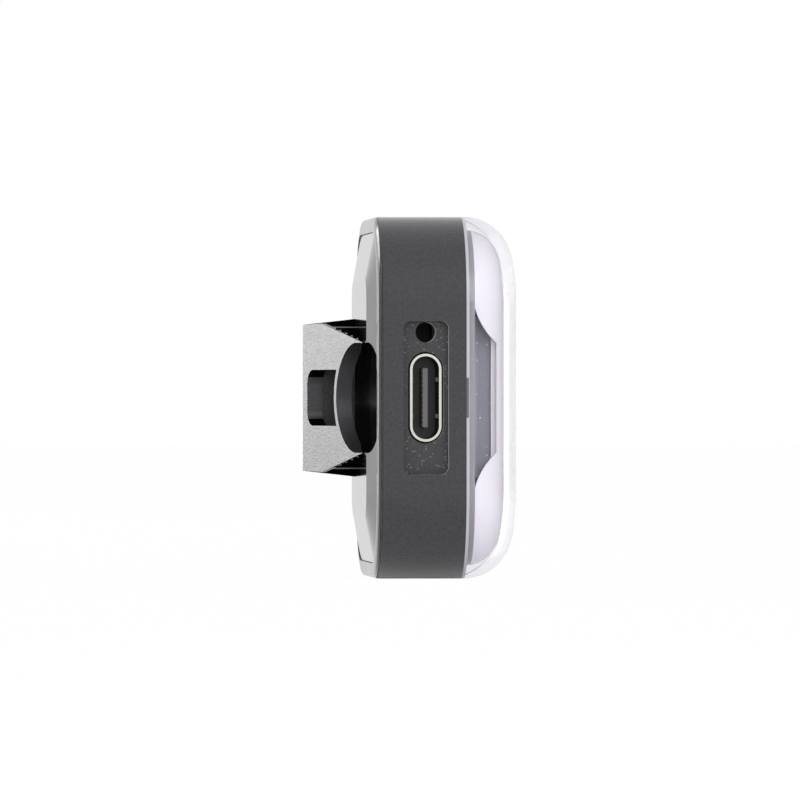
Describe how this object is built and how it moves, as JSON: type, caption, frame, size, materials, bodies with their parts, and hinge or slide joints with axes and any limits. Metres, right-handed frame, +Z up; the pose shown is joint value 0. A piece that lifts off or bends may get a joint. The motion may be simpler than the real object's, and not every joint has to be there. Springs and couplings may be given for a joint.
{
  "type": "bike rear light",
  "caption": "Compact rounded-square bicycle rear light: domed clear lens, dark housing with charging port, sprung key and sloped slide-on foot.",
  "frame": {"origin": "middle of the flat underside of the housing band", "axes": "+X along the optical axis out of the lens, +Z up as in the picture, -Y out of the charging port"},
  "size_m": [0.0208, 0.0373, 0.037],
  "materials": {
    "housing_plastic": "fine spark texture, dark grey",
    "frame_plastic": "satin black",
    "panel_plastic": "glossy black",
    "foot_plastic": "satin black with a fine grain",
    "lens_clear": "clear polycarbonate",
    "diffuser_white": "white moulded plastic",
    "optic_frosted": "frosted clear polycarbonate",
    "shell_steel": "bright plated steel",
    "socket_black": "black moulded insulator",
    "contact_gold": "gold-plated strips",
    "spring_steel": "bright steel",
    "seal_rubber": "black silicone",
    "key_plastic": "fine-textured dark key",
    "switch_steel": "stamped steel case",
    "plunger_black": "black plunger",
    "lamp_body": "white lamp body",
    "pipe_clear": "frosted clear pipe",
    "board_green": "solder mask",
    "chip_black": "moulded chips",
    "screw_steel": "zinc-plated steel",
    "board_white": "white solder mask",
    "dome_red": "red silicone",
    "cell_foil": "foil pouch",
    "tape_amber": "adhesive tape",
    "pad_foam": "dark foam",
    "lead_sleeve": "silicone sleeves"
  },
  "bodies": {
    "light": {"housing": "housing_plastic", "rear_frame": "frame_plastic", "rear_panel": "panel_plastic", "mount_foot": "foot_plastic", "lens": "lens_clear", "diffuser": "diffuser_white", "optic": "optic_frosted", "usb_shell": "shell_steel", "usb_tongue": "socket_black", "usb_contacts": "contact_gold", "usb_springs": "spring_steel", "port_seal": "seal_rubber", "button_seal": "seal_rubber", "tact_switch": "switch_steel", "status_led": "lamp_body", "light_pipe": "pipe_clear", "main_board": "board_green", "board_chips": "chip_black", "board_screws": "screw_steel", "led_board": "board_white", "led_packages": "lamp_body", "led_domes": "dome_red", "link_header": "socket_black", "link_pins": "contact_gold", "battery": "cell_foil", "battery_tape": "tape_amber", "battery_pad": "pad_foam", "battery_leads": "lead_sleeve", "lens_gasket": "seal_rubber", "rear_gasket": "seal_rubber", "case_screws": "screw_steel", "foot_screws": "screw_steel"},
    "key": {"power_button": "key_plastic", "switch_plunger": "plunger_black"}
  },
  "joints": [
    {"name": "key_press", "type": "slide", "parent": "light", "child": "key", "axis": [0, -1, 0], "range_m": [0, 0.0003], "stiffness_N_per_m": 1500}
  ]
}
